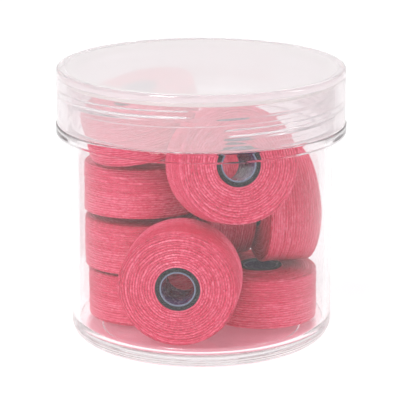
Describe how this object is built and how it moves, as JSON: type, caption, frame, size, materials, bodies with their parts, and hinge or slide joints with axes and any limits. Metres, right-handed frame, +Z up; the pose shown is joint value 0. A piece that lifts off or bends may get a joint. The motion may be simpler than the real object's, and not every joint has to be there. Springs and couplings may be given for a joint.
{
  "type": "bobbin box",
  "caption": "Round clear jar with an overhanging screw lid, filled with loose sideless pre-wound bobbins on black magnetic core rings.",
  "frame": {"origin": "middle of the jar's base, on the surface it stands on", "axes": "+Z up along the jar's axis, -Y towards the front"},
  "size_m": [0.0594, 0.0594, 0.0563],
  "materials": {
    "clear_plastic": "clear gloss polystyrene",
    "seal_plastic": "soft milky polyethylene",
    "pink_thread": "wound filament thread with a slight sheen",
    "black_magnet": "matt bonded magnet",
    "grey_tube": "thin glossy tube"
  },
  "bodies": {
    "jar": {"jar_body": "clear_plastic"},
    "seal": {"lid_seal": "seal_plastic"},
    "lid": {"lid": "clear_plastic"},
    "bobbin_front_low": {"thread_front_low": "pink_thread", "core_front_low": "black_magnet", "liner_front_low": "grey_tube"},
    "bobbin_front_high": {"thread_front_high": "pink_thread", "core_front_high": "black_magnet", "liner_front_high": "grey_tube"},
    "bobbin_left_first": {"thread_left_first": "pink_thread", "core_left_first": "black_magnet", "liner_left_first": "grey_tube"},
    "bobbin_left_second": {"thread_left_second": "pink_thread", "core_left_second": "black_magnet", "liner_left_second": "grey_tube"},
    "bobbin_left_third": {"thread_left_third": "pink_thread", "core_left_third": "black_magnet", "liner_left_third": "grey_tube"},
    "bobbin_left_top": {"thread_left_top": "pink_thread", "core_left_top": "black_magnet", "liner_left_top": "grey_tube"},
    "bobbin_right_low": {"thread_right_low": "pink_thread", "core_right_low": "black_magnet", "liner_right_low": "grey_tube"},
    "bobbin_right_side": {"thread_right_side": "pink_thread", "core_right_side": "black_magnet", "liner_right_side": "grey_tube"},
    "bobbin_middle": {"thread_middle": "pink_thread", "core_middle": "black_magnet", "liner_middle": "grey_tube"}
  },
  "joints": [
    {"name": "lid_rise", "type": "slide", "parent": "jar", "child": "seal", "axis": [0, 0, 1], "range_m": [0, 0.012]},
    {"name": "lid_turn", "type": "hinge", "parent": "seal", "child": "lid", "pos_m": [0, 0, 0.05], "axis": [0, 0, 1], "range_deg": [0, 1080]},
    {"name": "spin_front_low", "type": "hinge", "parent": "jar", "child": "bobbin_front_low", "pos_m": [-0.0041, -0.0149, 0.0149], "axis": [-0.1045, -0.9945, 0], "continuous": true},
    {"name": "spin_front_high", "type": "hinge", "parent": "jar", "child": "bobbin_front_high", "pos_m": [0.0058, -0.0147, 0.0393], "axis": [0.2849, -0.9318, 0.225], "continuous": true},
    {"name": "spin_left_first", "type": "hinge", "parent": "jar", "child": "bobbin_left_first", "pos_m": [-0.0119, 0.0038, 0.0082], "axis": [0, 0, 1], "continuous": true},
    {"name": "spin_left_second", "type": "hinge", "parent": "jar", "child": "bobbin_left_second", "pos_m": [-0.0127, 0.0037, 0.0192], "axis": [0, 0, 1], "continuous": true},
    {"name": "spin_left_third", "type": "hinge", "parent": "jar", "child": "bobbin_left_third", "pos_m": [-0.0127, 0.0033, 0.0307], "axis": [0.0135, 0.0506, 0.9986], "continuous": true},
    {"name": "spin_left_top", "type": "hinge", "parent": "jar", "child": "bobbin_left_top", "pos_m": [-0.0122, -0.0007, 0.0451], "axis": [-0.2241, -0.1294, 0.9659], "continuous": true},
    {"name": "spin_right_low", "type": "hinge", "parent": "jar", "child": "bobbin_right_low", "pos_m": [0.0124, 0.0021, 0.0083], "axis": [0, 0, 1], "continuous": true},
    {"name": "spin_right_side", "type": "hinge", "parent": "jar", "child": "bobbin_right_side", "pos_m": [0.0165, 0.0037, 0.0264], "axis": [0.9744, 0.225, 0], "continuous": true},
    {"name": "spin_middle", "type": "hinge", "parent": "jar", "child": "bobbin_middle", "pos_m": [0.0039, 0.0104, 0.026], "axis": [0.9744, 0.225, 0], "continuous": true}
  ],
  "couplings": [
    {"joint": "lid_rise", "follows": "lid_turn", "m_per_rad": 0.00063661}
  ]
}
